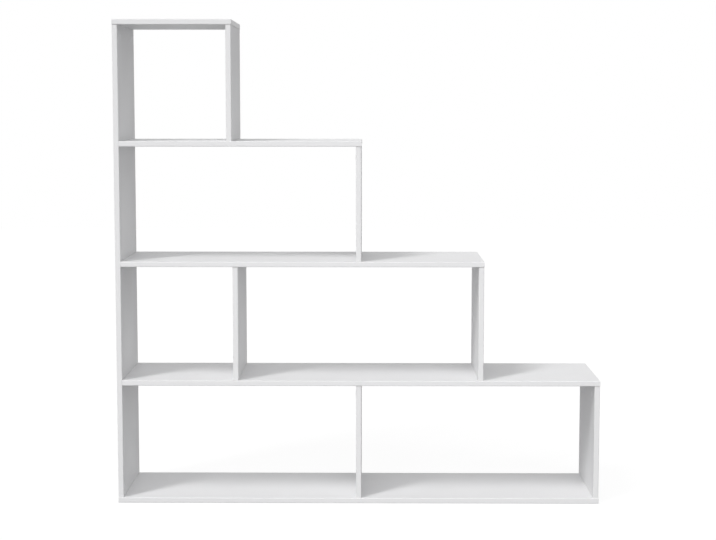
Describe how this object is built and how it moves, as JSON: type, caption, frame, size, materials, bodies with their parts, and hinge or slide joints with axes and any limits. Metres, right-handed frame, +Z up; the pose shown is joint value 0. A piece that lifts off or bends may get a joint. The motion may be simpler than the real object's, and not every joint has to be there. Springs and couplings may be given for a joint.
{
  "type": "stepped bookcase",
  "caption": "Open-backed white bookcase whose tiers step down to one side, for books and for dividing a room.",
  "frame": {"origin": "on the floor, at the middle of the outline's width and depth", "axes": "+X to the right along the width, towards the low end of the steps; +Y from the open front to the open back; +Z up"},
  "size_m": [1.45, 0.29, 1.45],
  "materials": {
    "melamine_board": "satin",
    "abs_edge_band": "satin",
    "zinc_cam": "satin",
    "steel_fastener": "satin",
    "white_cap_plastic": "satin"
  },
  "bodies": {
    "root": {"top_board": "melamine_board", "second_shelf": "melamine_board", "third_shelf": "melamine_board", "fourth_shelf": "melamine_board", "bottom_board": "melamine_board", "left_side_panel": "melamine_board", "first_tier_end_panel": "melamine_board", "second_tier_end_panel": "melamine_board", "third_tier_end_panel": "melamine_board", "third_tier_divider": "melamine_board", "fourth_tier_end_panel": "melamine_board", "fourth_tier_divider": "melamine_board", "left_side_panel_front_cam_lock": "zinc_cam", "left_side_panel_back_cam_lock": "zinc_cam", "first_tier_end_panel_front_cam_lock": "zinc_cam", "first_tier_end_panel_back_cam_lock": "zinc_cam", "second_tier_end_panel_front_cam_lock": "zinc_cam", "second_tier_end_panel_back_cam_lock": "zinc_cam", "third_tier_divider_front_cam_lock": "zinc_cam", "third_tier_divider_back_cam_lock": "zinc_cam", "third_tier_end_panel_front_cam_lock": "zinc_cam", "third_tier_end_panel_back_cam_lock": "zinc_cam", "fourth_tier_divider_front_cam_lock": "zinc_cam", "fourth_tier_divider_back_cam_lock": "zinc_cam", "fourth_tier_end_panel_front_cam_lock": "zinc_cam", "fourth_tier_end_panel_back_cam_lock": "zinc_cam", "left_side_panel_front_cam_bolt": "steel_fastener", "left_side_panel_back_cam_bolt": "steel_fastener", "first_tier_end_panel_front_cam_bolt": "steel_fastener", "first_tier_end_panel_back_cam_bolt": "steel_fastener", "second_tier_end_panel_front_cam_bolt": "steel_fastener", "second_tier_end_panel_back_cam_bolt": "steel_fastener", "third_tier_divider_front_cam_bolt": "steel_fastener", "third_tier_divider_back_cam_bolt": "steel_fastener", "third_tier_end_panel_front_cam_bolt": "steel_fastener", "third_tier_end_panel_back_cam_bolt": "steel_fastener", "fourth_tier_divider_front_cam_bolt": "steel_fastener", "fourth_tier_divider_back_cam_bolt": "steel_fastener", "fourth_tier_end_panel_front_cam_bolt": "steel_fastener", "fourth_tier_end_panel_back_cam_bolt": "steel_fastener", "first_tier_end_panel_foot_front_screw": "steel_fastener", "first_tier_end_panel_foot_back_screw": "steel_fastener", "second_tier_end_panel_foot_front_screw": "steel_fastener", "second_tier_end_panel_foot_back_screw": "steel_fastener", "third_tier_divider_foot_front_screw": "steel_fastener", "third_tier_divider_foot_back_screw": "steel_fastener", "third_tier_end_panel_foot_front_screw": "steel_fastener", "third_tier_end_panel_foot_back_screw": "steel_fastener", "left_side_panel_foot_front_screw": "steel_fastener", "left_side_panel_foot_back_screw": "steel_fastener", "fourth_tier_divider_foot_front_screw": "steel_fastener", "fourth_tier_divider_foot_back_screw": "steel_fastener", "fourth_tier_end_panel_foot_front_screw": "steel_fastener", "fourth_tier_end_panel_foot_back_screw": "steel_fastener", "second_shelf_left_front_screw": "steel_fastener", "second_shelf_left_back_screw": "steel_fastener", "third_shelf_left_front_screw": "steel_fastener", "third_shelf_left_back_screw": "steel_fastener", "fourth_shelf_left_front_screw": "steel_fastener", "fourth_shelf_left_back_screw": "steel_fastener"}
  },
  "joints": []
}
